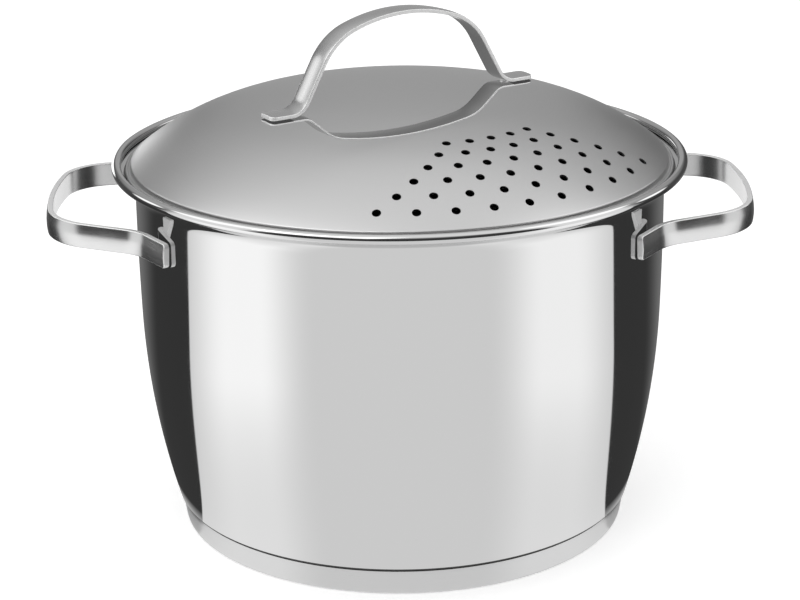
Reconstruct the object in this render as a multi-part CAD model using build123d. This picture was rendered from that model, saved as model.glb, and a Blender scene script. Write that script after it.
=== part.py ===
from build123d import *
import math
import os

# All sizes are millimetres and all angles degrees. The origin is the centre of the resting face,
# +Z is up, the two side handles point along +X and -X, and the photographed side faces -Y.

# Pot shell: one drawn sheet with a swelling wall, a flared mouth and a rolled rim.
MOUTH_DIAMETER = 240.0
SHELL_WALL = 0.8
POT_HEIGHT = 173.4
WALL_STRAIGHT = 10.5
WALL_CONE_HEIGHT = 7.4
WALL_UPPER_RADIUS = 1950.0
WALL_UPPER_ANGLE = 1.4
WALL_LOWER_RADIUS = 360.0
FLARE_RADIUS = 8.3
FLARE_ANGLE = 78.0
LIP_LENGTH = 1.9
BEAD_RADIUS = 2.2
BEAD_ANGLE = 292.0
FOOT_EDGE_RADIUS = 1.6
FLOOR_CORNER_RADIUS = 3.4
CREVICE_RADIUS = 0.5
FLOOR_TUCK_DEPTH = 0.7

# Capsule base: an aluminium core inside a pressed stainless cap.
CAP_SHEET = 0.8
CAP_HEIGHT = 11.9
CAP_SETBACK = 1.0
CAP_DRAFT_ANGLE = 9.2
CAP_EDGE_RADIUS = 1.4
CORE_SIDE_GAP = 0.8
TUCK_CLEARANCE = 0.3
BASE_CREVICE = 0.5

# Side handles: a bent strap loop, held at each end by a folded bracket.
STRAP_WIDTH = 11.0
STRAP_THICKNESS = 3.1
STRAP_CAMBER = 0.7
STRAP_EDGE_RADIUS = 0.5
TIP_CORNER_RADIUS = 2.2
HANDLE_DROP = 22.1
HANDLE_TILT_ANGLE = 2.3
BOW_RADIUS = 193.5
BOW_ANGLE = 8.5
CORNER_RADIUS = 28.5
CORNER_ANGLE = 62.5
ARM_LENGTH = 19.4
NECK_RADIUS = 18.5
NECK_ANGLE = 35.5
TAB_LENGTH = 16.7
TAB_GAP = 0.8
BRACKET_SHEET = 2.0
BRACKET_FOLD_RADIUS = 0.2
BRACKET_FOOT_ANGLE = 3.1
BRACKET_SLANT_ANGLE = 27.0
BRACKET_DROP = 9.8
BRACKET_HEIGHT = 20.4
EAR_LENGTH = 9.7
EAR_TIP_HEIGHT = 11.1
EAR_SLOPE_ANGLE = 20.0
SPOT_DIAMETER = 4.0
SPOT_INSET = 4.6
SPOT_PITCH = 7.0
SPOTS_PER_TAB = 2

# Lid: a domed sheet with a stepped flange that sits in the flared mouth.
LID_SHEET = 0.7
LID_STEP_HEIGHT = 2.0
LID_FLANGE_WIDTH = 1.7
CROWN_RADIUS = 328.8
CROWN_ANGLE = 13.2
SHOULDER_RADIUS = 119.7
LID_EDGE_RADIUS = 1.3
LID_GROOVE_RADIUS = 0.7
HEM_RADIUS = 0.8
HEM_CLEARANCE = 0.3
HEM_SEAT_ANGLE = 60.6
LID_TURN_ANGLE = 31.2

# Strainer holes: arcs of holes, each arc with one hole more than the arc inside it.
HOLE_DIAMETER = 3.9
HOLE_EDGE_INSET = 9.2
HOLE_ARC_PITCH = 8.9
HOLE_PITCH_ANGLE = 8.23
HOLE_ARCS = 6
HOLES_IN_FIRST_ARC = 5

# Lid handle: an arched strap over a shallow bracket strap.
LID_HANDLE_OFFSET = 63.5
LID_HANDLE_ANGLE = -90.4
LID_STRAP_WIDTH = 11.0
LID_STRAP_THICKNESS = 2.0
LID_STRAP_CAMBER = 0.4
LID_STRAP_EDGE_RADIUS = 0.4
LID_TIP_CORNER_RADIUS = 2.5
LID_TIP_REACH = 65.5
LID_TAB_RISE = 12.1
LID_TAB_GAP = 0.7
ARCH_RISE = 36.8
ARCH_CROWN_RADIUS = 75.0
ARCH_CROWN_ANGLE = 19.5
ARCH_CORNER_RADIUS = 29.0
ARCH_CORNER_ANGLE = 41.5
ARCH_NECK_RADIUS = 7.5
DIP_RISE = 1.9
DIP_SHEET = 1.2
DIP_FLOOR_RADIUS = 170.0
DIP_FLOOR_ANGLE = 10.5
DIP_CORNER_RADIUS = 18.0
DIP_CORNER_ANGLE = 29.5
DIP_NECK_RADIUS = 7.0

CUT_OVERRUN = 5.0


def ahead(heading):
    """Unit vector along a heading, measured from the X axis towards the Y axis."""
    return Vector(math.cos(math.radians(heading)), math.sin(math.radians(heading)))


def trail(start, heading, moves, shift=0.0):
    """Edges of a path of straight and round moves, moved sideways to its left by the shift.

    A straight move is (length, 0). A round move is (radius, turn), with left turns positive.
    """
    edges = []
    at = Vector(*start) + ahead(heading + 90) * shift
    for size, turn in moves:
        if turn == 0:
            edge = Line(at, at + ahead(heading) * size)
        elif turn > 0:
            edge = JernArc(at, ahead(heading), size - shift, turn)
        else:
            edge = JernArc(at, ahead(heading), size + shift, turn)
        heading += turn
        at = edge @ 1
        edges.append(edge)
    return edges


def sheet_outline(start, heading, moves, thickness):
    """Face between a path and the same path moved to its left by the thickness."""
    near = trail(start, heading, moves)
    far = trail(start, heading, moves, thickness)
    ends = [Line(near[0] @ 0, far[0] @ 0), Line(near[-1] @ 1, far[-1] @ 1)]
    return make_face(near + far + ends)


def turned(outline):
    """Solid of revolution about Z from an outline drawn with X as radius and Y as height."""
    return revolve(Rot(90, 0, 0) * outline, axis=Axis.Z, revolution_arc=360)


def sine(angle):
    return math.sin(math.radians(angle))


def cosine(angle):
    return math.cos(math.radians(angle))


def tangent(angle):
    return math.tan(math.radians(angle))


# Radii and heights that several pieces share.
wall_radius = MOUTH_DIAMETER / 2 + SHELL_WALL
foot_height = CAP_HEIGHT + BASE_CREVICE
floor_height = foot_height - CREVICE_RADIUS - FLOOR_TUCK_DEPTH - FLOOR_CORNER_RADIUS
lip_angle = 90 - FLARE_ANGLE
flare_start_height = POT_HEIGHT - BEAD_RADIUS * (1 + cosine(lip_angle)) - LIP_LENGTH * sine(lip_angle)
flare_start_height -= FLARE_RADIUS * sine(FLARE_ANGLE)

# The wall's lower arc spans the height that the other stretches leave, which gives the foot its radius.
cone_top_height = foot_height + WALL_CONE_HEIGHT
upper_arc_rise = WALL_UPPER_RADIUS * sine(WALL_UPPER_ANGLE)
lower_arc_rise = flare_start_height - WALL_STRAIGHT - upper_arc_rise - cone_top_height
cone_angle = math.degrees(math.asin(sine(WALL_UPPER_ANGLE) + lower_arc_rise / WALL_LOWER_RADIUS))
wall_lower_angle = cone_angle - WALL_UPPER_ANGLE
upper_arc_swell = WALL_UPPER_RADIUS * (1 - cosine(WALL_UPPER_ANGLE))
lower_arc_swell = WALL_LOWER_RADIUS * (cosine(WALL_UPPER_ANGLE) - cosine(cone_angle))
foot_radius = wall_radius - upper_arc_swell - lower_arc_swell - WALL_CONE_HEIGHT * tangent(cone_angle)
cap_corner_radius = foot_radius - CAP_SETBACK - CAP_HEIGHT * tangent(CAP_DRAFT_ANGLE)
cap_inner_shift = CAP_SHEET / cosine(CAP_DRAFT_ANGLE)
tuck_radius = cap_corner_radius + floor_height * tangent(CAP_DRAFT_ANGLE) - cap_inner_shift - TUCK_CLEARANCE


def make_pot_body():
    foot_turn = 90 - cone_angle
    foot_setback = FOOT_EDGE_RADIUS * tangent(foot_turn / 2)
    moves = [
        (tuck_radius - FLOOR_CORNER_RADIUS, 0),
        (FLOOR_CORNER_RADIUS, 90),
        (FLOOR_TUCK_DEPTH, 0),
        (CREVICE_RADIUS, -90),
        (foot_radius - foot_setback - tuck_radius - CREVICE_RADIUS, 0),
        (FOOT_EDGE_RADIUS, foot_turn),
        (WALL_CONE_HEIGHT / cosine(cone_angle) - foot_setback, 0),
        (WALL_LOWER_RADIUS, wall_lower_angle),
        (WALL_UPPER_RADIUS, WALL_UPPER_ANGLE),
        (WALL_STRAIGHT, 0),
        (FLARE_RADIUS, -FLARE_ANGLE),
        (LIP_LENGTH, 0),
        (BEAD_RADIUS, BEAD_ANGLE),
    ]
    return turned(sheet_outline((0, floor_height), 0, moves, SHELL_WALL))


def make_base_cap():
    edge_turn = 90 - CAP_DRAFT_ANGLE
    edge_setback = CAP_EDGE_RADIUS * tangent(edge_turn / 2)
    moves = [
        (cap_corner_radius - edge_setback, 0),
        (CAP_EDGE_RADIUS, edge_turn),
        (CAP_HEIGHT / cosine(CAP_DRAFT_ANGLE) - edge_setback, 0),
    ]
    return turned(sheet_outline((0, 0), 0, moves, CAP_SHEET))


def make_base_core():
    inner_radius = cap_corner_radius - cap_inner_shift - CORE_SIDE_GAP
    low_radius = inner_radius + CAP_SHEET * tangent(CAP_DRAFT_ANGLE)
    high_radius = inner_radius + floor_height * tangent(CAP_DRAFT_ANGLE)
    corners = [(0, CAP_SHEET), (low_radius, CAP_SHEET), (high_radius, floor_height), (0, floor_height)]
    return turned(make_face(Polyline(*corners, close=True)))


def strap(half_moves, width, thickness, camber, edge_radius, tip_radius):
    """Bent strap, symmetric about its middle, drawn flat in XY with its width along Z.

    The crown of the outer face passes through the origin along X and the strap lies to its left.
    """
    half_turn = sum(turn for size, turn in half_moves)
    moves = list(reversed(half_moves)) + list(half_moves)
    path = Wire(trail((0, 0), -half_turn, moves))
    path = Pos(-(path @ 0.5)) * path
    heading = path % 0
    across = Plane(origin=path @ 0, x_dir=(0, 0, 1), z_dir=heading)
    side = 1 if across.y_dir.dot(Vector(0, 0, 1).cross(heading)) > 0 else -1
    half = width / 2
    section = [
        ThreePointArc((-half, side * camber), (0, 0), (half, side * camber)),
        Line((half, side * camber), (half, side * thickness)),
        Line((half, side * thickness), (-half, side * thickness)),
        Line((-half, side * thickness), (-half, side * camber)),
    ]
    body = sweep(across * make_face(section), path=path)
    tips = body.edges().filter_by(lambda edge: abs(edge.length - (thickness - camber)) < camber / 2)
    body = fillet(tips, tip_radius)
    return fillet(body.edges().filter_by(lambda edge: edge.length > edge_radius), edge_radius)


handle_moves = [
    (BOW_RADIUS, BOW_ANGLE),
    (CORNER_RADIUS, CORNER_ANGLE),
    (ARM_LENGTH, 0),
    (NECK_RADIUS, -NECK_ANGLE),
    (TAB_LENGTH, 0),
]
half_handle_turn = sum(turn for size, turn in handle_moves)
ear_heading = half_handle_turn - 90
fold_radius = BRACKET_SHEET + BRACKET_FOLD_RADIUS


def handle_tab_line(reach, depth):
    """Plan line along one handle tab, at a depth under the outer face, from the neck to the tip."""
    return trail((reach, 0), 90, handle_moves, depth)[-1]


def fold_centre(reach):
    """Plan place of a bracket's fold behind the handle tab, for a bar that reaches out so far."""
    tip = handle_tab_line(reach, STRAP_THICKNESS + TAB_GAP) @ 1
    return tip + ahead(ear_heading) * EAR_LENGTH + ahead(ear_heading - 90) * fold_radius


# The bar reaches as far out as puts the folds against the wall.
fold_offset = fold_centre(0)
handle_reach = math.sqrt((wall_radius + fold_radius) ** 2 - fold_offset.Y ** 2) - fold_offset.X
handle_height = POT_HEIGHT - HANDLE_DROP
bracket_bottom_height = POT_HEIGHT - BRACKET_DROP - BRACKET_HEIGHT


def make_handle_grip():
    """Right-hand strap loop, lying level and then tilted about the middle of its bar."""
    flat = strap(handle_moves, STRAP_WIDTH, STRAP_THICKNESS, STRAP_CAMBER, STRAP_EDGE_RADIUS,
                 TIP_CORNER_RADIUS)
    return Pos(handle_reach, 0, handle_height) * Rot(0, -HANDLE_TILT_ANGLE, 0) * Rot(0, 0, 90) * flat


def make_bracket(pot_body):
    """Right rear bracket: an ear beside the handle tab, a tight fold and a foot on the wall."""
    tip = handle_tab_line(handle_reach, STRAP_THICKNESS + TAB_GAP) @ 1
    inward = ahead(ear_heading - 90)
    centre = fold_centre(handle_reach)
    fold_azimuth = math.degrees(math.atan2(centre.Y, centre.X))
    reach = MOUTH_DIAMETER / 2
    ear_moves = [(EAR_LENGTH, 0), (fold_radius, fold_azimuth - ear_heading - 270)]
    ear = extrude(sheet_outline((tip.X, tip.Y), ear_heading, ear_moves, -BRACKET_SHEET), BRACKET_HEIGHT)
    ear = Pos(0, 0, bracket_bottom_height) * ear
    slope = ahead(ear_heading) * cosine(EAR_SLOPE_ANGLE) + Vector(0, 0, sine(EAR_SLOPE_ANGLE))
    tip_top = Vector(tip.X, tip.Y, bracket_bottom_height + EAR_TIP_HEIGHT)
    above_ear = Plane(origin=tip_top, x_dir=slope, z_dir=inward.cross(slope))
    ear -= above_ear * Box(reach, reach, reach, align=(Align.CENTER, Align.CENTER, Align.MIN))
    tip_edges = ear.edges().filter_by(lambda edge: is_tip_edge(edge, tip, inward))
    ear = fillet(tip_edges, TIP_CORNER_RADIUS)
    foot_start = ahead(fold_azimuth) * wall_radius
    foot_moves = [(wall_radius, BRACKET_FOOT_ANGLE)]
    foot_outline = sheet_outline((foot_start.X, foot_start.Y), fold_azimuth + 90, foot_moves, -BRACKET_SHEET)
    foot = Pos(0, 0, bracket_bottom_height) * extrude(foot_outline, BRACKET_HEIGHT)
    front = ahead(fold_azimuth + BRACKET_FOOT_ANGLE)
    along = Vector(0, 0, 1).cross(front)
    lean = along * cosine(BRACKET_SLANT_ANGLE) - Vector(0, 0, sine(BRACKET_SLANT_ANGLE))
    corner = front * wall_radius + Vector(0, 0, bracket_bottom_height + BRACKET_HEIGHT)
    foot -= Plane(origin=corner, x_dir=front, z_dir=lean) * Box(
        reach, reach, reach, align=(Align.CENTER, Align.CENTER, Align.MIN))
    return ear + foot - pot_body


def is_tip_edge(edge, tip, inward):
    """True for the two edges that cross the sheet at the free end of a bracket's ear."""
    middle = edge.center()
    from_tip = math.hypot(middle.X - tip.X, middle.Y - tip.Y)
    crosses_sheet = abs((edge % 0).dot(inward)) > cosine(EAR_SLOPE_ANGLE)
    return crosses_sheet and from_tip < BRACKET_SHEET


def weld_spots(places, diameter, length, neighbours):
    """Round weld spots on several planes, cut flush with the pieces that they join."""
    spots = []
    for place in places:
        spot = place * Cylinder(diameter / 2, length)
        for piece in neighbours:
            spot -= piece
        spots += spot.solids()
    return spots


def make_handle_weld_spots(grip, rear_bracket, front_bracket):
    middle = handle_tab_line(handle_reach, STRAP_THICKNESS + TAB_GAP / 2)
    along = ahead(ear_heading)
    across = ahead(ear_heading - 90)
    height = bracket_bottom_height + EAR_TIP_HEIGHT / 2
    places = []
    for index in range(SPOTS_PER_TAB):
        at = middle @ 1 + along * (SPOT_INSET + index * SPOT_PITCH)
        places.append(Plane(origin=(at.X, at.Y, height), z_dir=across))
        places.append(Plane(origin=(at.X, -at.Y, height), z_dir=(across.X, -across.Y, 0)))
    return weld_spots(places, SPOT_DIAMETER, TAB_GAP * 2, [grip, rear_bracket, front_bracket])


# The hem rests over the flare, and the dome's shoulder turns as far as brings it to the flange's step.
hem_stand = FLARE_RADIUS + SHELL_WALL + HEM_CLEARANCE + HEM_RADIUS
hem_centre_radius = wall_radius + FLARE_RADIUS - hem_stand * cosine(HEM_SEAT_ANGLE)
hem_height = flare_start_height + hem_stand * sine(HEM_SEAT_ANGLE)
step_radius = hem_centre_radius - LID_FLANGE_WIDTH
step_top_height = hem_height + LID_SHEET / 2 + LID_STEP_HEIGHT
crown_offset = (CROWN_RADIUS - SHOULDER_RADIUS) * sine(CROWN_ANGLE)
shoulder_run = step_radius - LID_EDGE_RADIUS - crown_offset
dome_edge_slope = math.degrees(math.asin(shoulder_run / (SHOULDER_RADIUS - LID_EDGE_RADIUS)))
dome_edge_height = step_top_height + LID_EDGE_RADIUS * cosine(dome_edge_slope)
crown_length = math.radians(CROWN_ANGLE) * CROWN_RADIUS
dome_length = crown_length + math.radians(dome_edge_slope - CROWN_ANGLE) * SHOULDER_RADIUS
shoulder_centre_height = dome_edge_height - SHOULDER_RADIUS * cosine(dome_edge_slope)
crown_centre_height = shoulder_centre_height - (CROWN_RADIUS - SHOULDER_RADIUS) * cosine(CROWN_ANGLE)
lid_top_height = crown_centre_height + CROWN_RADIUS


def dome_point(distance):
    """Radius, height and slope of the lid's outer face at a distance along it from the centre."""
    if distance <= crown_length:
        slope = math.degrees(distance / CROWN_RADIUS)
        return CROWN_RADIUS * sine(slope), crown_centre_height + CROWN_RADIUS * cosine(slope), slope
    slope = CROWN_ANGLE + math.degrees((distance - crown_length) / SHOULDER_RADIUS)
    radius = crown_offset + SHOULDER_RADIUS * sine(slope)
    return radius, shoulder_centre_height + SHOULDER_RADIUS * cosine(slope), slope


def make_lid_shell():
    moves = [
        (CROWN_RADIUS, -CROWN_ANGLE),
        (SHOULDER_RADIUS, CROWN_ANGLE - dome_edge_slope),
        (LID_EDGE_RADIUS, dome_edge_slope - 90),
        (LID_STEP_HEIGHT - LID_GROOVE_RADIUS, 0),
        (LID_GROOVE_RADIUS, 90),
        (LID_FLANGE_WIDTH - LID_GROOVE_RADIUS, 0),
    ]
    sheet = sheet_outline((0, lid_top_height), 0, moves, -LID_SHEET)
    hem = Pos(hem_centre_radius, hem_height) * Circle(HEM_RADIUS)
    shell = turned(sheet + hem)
    drills = []
    for arc in range(HOLE_ARCS):
        arcs_outside = HOLE_ARCS - 1 - arc
        radius, height, slope = dome_point(dome_length - HOLE_EDGE_INSET - arcs_outside * HOLE_ARC_PITCH)
        drill = Pos(radius, 0, height) * Rot(0, slope, 0) * Cylinder(HOLE_DIAMETER / 2, CUT_OVERRUN)
        count = HOLES_IN_FIRST_ARC + arc
        for index in range(count):
            azimuth = LID_TURN_ANGLE - 90 + (index - (count - 1) / 2) * HOLE_PITCH_ANGLE
            drills.append(Rot(0, 0, azimuth) * drill)
    return shell - drills


# Heights of the lid handle: its tabs over the dome's top, its bracket over the dome beneath it.
lid_tab_height = lid_top_height + LID_TAB_RISE
dome_fall_at_handle = CROWN_RADIUS - math.sqrt(CROWN_RADIUS ** 2 - LID_HANDLE_OFFSET ** 2)
dip_height = lid_top_height - dome_fall_at_handle + DIP_RISE


def lid_handle_plane(height):
    """Plane over the lid handle's middle, X along the handle and Y straight down."""
    along = ahead(LID_TURN_ANGLE)
    middle = ahead(LID_HANDLE_ANGLE) * LID_HANDLE_OFFSET + Vector(0, 0, height)
    return Plane(origin=middle, x_dir=-along, z_dir=along.cross(Vector(0, 0, 1)))


def arch_moves():
    lean = ARCH_CROWN_ANGLE + ARCH_CORNER_ANGLE
    run = ARCH_CROWN_RADIUS * sine(ARCH_CROWN_ANGLE)
    run += ARCH_CORNER_RADIUS * (sine(lean) - sine(ARCH_CROWN_ANGLE))
    fall = ARCH_CROWN_RADIUS * (1 - cosine(ARCH_CROWN_ANGLE))
    fall += ARCH_CORNER_RADIUS * (cosine(ARCH_CROWN_ANGLE) - cosine(lean))
    drop = ARCH_RISE - fall
    setback = ARCH_NECK_RADIUS * tangent(lean / 2)
    return [
        (ARCH_CROWN_RADIUS, ARCH_CROWN_ANGLE),
        (ARCH_CORNER_RADIUS, ARCH_CORNER_ANGLE),
        (drop / sine(lean) - setback, 0),
        (ARCH_NECK_RADIUS, -lean),
        (LID_TIP_REACH - run - drop / tangent(lean) - setback, 0),
    ]


def dip_moves():
    lean = DIP_FLOOR_ANGLE + DIP_CORNER_ANGLE
    run = DIP_FLOOR_RADIUS * sine(DIP_FLOOR_ANGLE)
    run += DIP_CORNER_RADIUS * (sine(lean) - sine(DIP_FLOOR_ANGLE))
    rise = DIP_FLOOR_RADIUS * (1 - cosine(DIP_FLOOR_ANGLE))
    rise += DIP_CORNER_RADIUS * (cosine(DIP_FLOOR_ANGLE) - cosine(lean))
    climb = lid_tab_height - LID_STRAP_THICKNESS - LID_TAB_GAP - dip_height - rise
    setback = DIP_NECK_RADIUS * tangent(lean / 2)
    return [
        (DIP_FLOOR_RADIUS, -DIP_FLOOR_ANGLE),
        (DIP_CORNER_RADIUS, -DIP_CORNER_ANGLE),
        (climb / sine(lean) - setback, 0),
        (DIP_NECK_RADIUS, lean),
        (LID_TIP_REACH - run - climb / tangent(lean) - setback, 0),
    ]


def lid_strap(half_moves, height, thickness):
    flat = strap(half_moves, LID_STRAP_WIDTH, thickness, LID_STRAP_CAMBER, LID_STRAP_EDGE_RADIUS,
                 LID_TIP_CORNER_RADIUS)
    return lid_handle_plane(height) * flat


def make_lid_handle_bracket():
    """Lower strap, cut to the lid's outer face where its middle sits on the dome."""
    dome = Pos(0, 0, crown_centre_height) * Sphere(CROWN_RADIUS)
    return lid_strap(dip_moves(), dip_height, DIP_SHEET) - dome


def make_lid_handle_weld_spots(grip, bracket):
    along = ahead(LID_TURN_ANGLE)
    height = lid_tab_height - LID_STRAP_THICKNESS - LID_TAB_GAP / 2
    places = []
    for side in (-1, 1):
        for index in range(SPOTS_PER_TAB):
            at = along * side * (LID_TIP_REACH - SPOT_INSET - index * SPOT_PITCH)
            at += ahead(LID_HANDLE_ANGLE) * LID_HANDLE_OFFSET
            places.append(Plane(origin=(at.X, at.Y, height)))
    return weld_spots(places, SPOT_DIAMETER, LID_TAB_GAP * 2, [grip, bracket])


def save(name, piece):
    """Write one node; several solids are written as one group."""
    export_step(Compound(label=name, children=piece) if isinstance(piece, list) else piece,
                f"parts/{name}.step")


def build():
    os.makedirs("parts", exist_ok=True)
    pot_body = make_pot_body()
    save("pot_body", pot_body)
    save("base_core", make_base_core())
    save("base_cap", make_base_cap())
    grip = make_handle_grip()
    rear = make_bracket(pot_body)
    front = mirror(rear, about=Plane.XZ)
    spots = make_handle_weld_spots(grip, rear, front)
    for side in ("right", "left"):
        pieces = {"handle_grip": grip, "rear_bracket": rear, "front_bracket": front}
        for name, piece in pieces.items():
            save(f"{side}_{name}", piece if side == "right" else mirror(piece, about=Plane.YZ))
        group = spots if side == "right" else [mirror(spot, about=Plane.YZ) for spot in spots]
        save(f"{side}_handle_weld_spots", group)
    save("lid_shell", make_lid_shell())
    arch = lid_strap(arch_moves(), lid_tab_height + ARCH_RISE, LID_STRAP_THICKNESS)
    bracket = make_lid_handle_bracket()
    save("lid_handle_grip", arch)
    save("lid_handle_bracket", bracket)
    save("lid_handle_weld_spots", make_lid_handle_weld_spots(arch, bracket))


build()
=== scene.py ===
"""Tall stainless pasta pot with a strainer lid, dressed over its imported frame.

The pot shell, its base cap, the lid and the bent straps are built again with smooth curves and put
in the place of their plain solids. The folded brackets, the weld spots and the base's core keep
their solids and get their finish here. Sizes are in millimetres until a mesh is finished.
"""

import logging
import math
from dataclasses import dataclass, field
from enum import Enum

import bmesh
import bpy
from mathutils import Matrix, Vector


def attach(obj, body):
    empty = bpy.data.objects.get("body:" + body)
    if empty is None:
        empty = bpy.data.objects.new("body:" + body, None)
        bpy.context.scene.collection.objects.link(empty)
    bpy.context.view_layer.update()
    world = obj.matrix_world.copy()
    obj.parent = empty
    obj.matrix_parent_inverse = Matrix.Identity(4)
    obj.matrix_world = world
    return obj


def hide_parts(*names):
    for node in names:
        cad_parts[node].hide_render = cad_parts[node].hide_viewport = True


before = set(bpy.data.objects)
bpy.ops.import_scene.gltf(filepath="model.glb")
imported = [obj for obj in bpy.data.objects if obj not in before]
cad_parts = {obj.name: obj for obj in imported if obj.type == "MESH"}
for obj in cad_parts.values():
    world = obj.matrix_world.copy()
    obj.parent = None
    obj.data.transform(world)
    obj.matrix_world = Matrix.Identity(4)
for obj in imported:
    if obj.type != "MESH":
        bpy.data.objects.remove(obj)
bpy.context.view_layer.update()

LOG = logging.getLogger("pasta_pot")
MM = 0.001
LONGEST_CHORD = 5.0
MERGE_DISTANCE = 0.0001
SHARP_ANGLE = 40.0
STRAP_SHARP_ANGLE = 50.0


def ahead(heading: float) -> Vector:
    """Unit vector along a heading in degrees, from the X axis towards the Y axis."""
    return Vector((math.cos(math.radians(heading)), math.sin(math.radians(heading))))


def sine(angle: float) -> float:
    """Sine of an angle in degrees."""
    return math.sin(math.radians(angle))


def cosine(angle: float) -> float:
    """Cosine of an angle in degrees."""
    return math.cos(math.radians(angle))


def tangent(angle: float) -> float:
    """Tangent of an angle in degrees."""
    return math.tan(math.radians(angle))


@dataclass(frozen=True)
class SheetPath:
    """Path of straight and round stretches that a sheet's section or a strap follows.

    A straight stretch is (length, 0) and a round one is (radius, turn), left turns positive.
    """

    start: tuple[float, float]
    heading: float
    moves: tuple[tuple[float, float], ...]
    arc_step: float = 4.0
    straight_step: float = 4.0

    @staticmethod
    def run(size: float, turn: float) -> float:
        """Length of one stretch in millimetres."""
        return size if turn == 0 else size * math.radians(abs(turn))

    def points(self, shift: float = 0.0) -> list[Vector]:
        """Points along the path, moved sideways to its left.

        Args:
            shift: distance in millimetres from the path to the wanted line.

        Returns:
            The points in order, the same number for every shift.
        """
        line = []
        stations = [0.0]
        for size, turn in self.moves:
            run = self.run(size, turn)
            count = max(1, round(run / self.straight_step))
            if turn:
                count = max(2, math.ceil(max(abs(turn) / self.arc_step, run / LONGEST_CHORD)))
            start = stations[-1]
            stations += [start + run * index / count for index in range(1, count + 1)]
        for distance in stations:
            at, heading = self.place(distance)
            line.append(at + ahead(heading + 90) * shift)
        return line

    def length(self) -> float:
        """Length of the path itself in millimetres."""
        return sum(self.run(size, turn) for size, turn in self.moves)

    def place(self, distance: float) -> tuple[Vector, float]:
        """Point and heading at a distance along the path.

        Args:
            distance: millimetres from the start, held within the path's length.

        Returns:
            The point and the heading in degrees there.
        """
        heading = self.heading
        at = Vector(self.start)
        left = distance
        for size, turn in self.moves:
            run = self.run(size, turn)
            step = min(left, run)
            if turn == 0:
                at = at + ahead(heading) * step
            else:
                side = 1 if turn > 0 else -1
                centre = at + ahead(heading + side * 90) * size
                heading += turn * step / run
                at = centre - ahead(heading + side * 90) * size
            left -= step
            if left <= 0:
                break
        return at, heading


class Grain(Enum):
    """Direction in which a steel surface was worked."""

    MIRROR = "mirror"
    SPUN = "spun"
    LENGTHWISE = "lengthwise"


def linear_from_hex(code: str) -> tuple[float, float, float, float]:
    """Linear colour of an sRGB hex code.

    Args:
        code: six hex digits with a leading hash.

    Returns:
        Red, green, blue and an alpha of one.
    """
    values = [int(code[i:i + 2], 16) / 255 for i in (1, 3, 5)]
    linear = [v / 12.92 if v <= 0.04045 else ((v + 0.055) / 1.055) ** 2.4 for v in values]
    return (linear[0], linear[1], linear[2], 1.0)


def add_node(tree: bpy.types.NodeTree, kind: str, settings: dict | None = None,
             inputs: dict | None = None) -> bpy.types.Node:
    """Add a node with its settings, values and links.

    Args:
        tree: node tree that takes the node.
        kind: Blender's identifier of the node.
        settings: attributes of the node and their values.
        inputs: input names or numbers, each with a value or with the output socket that feeds it.

    Returns:
        The new node.
    """
    node = tree.nodes.new(kind)
    for name, value in (settings or {}).items():
        setattr(node, name, value)
    for name, value in (inputs or {}).items():
        if isinstance(value, bpy.types.NodeSocket):
            tree.links.new(value, node.inputs[name])
        else:
            node.inputs[name].default_value = value
    return node


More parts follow.
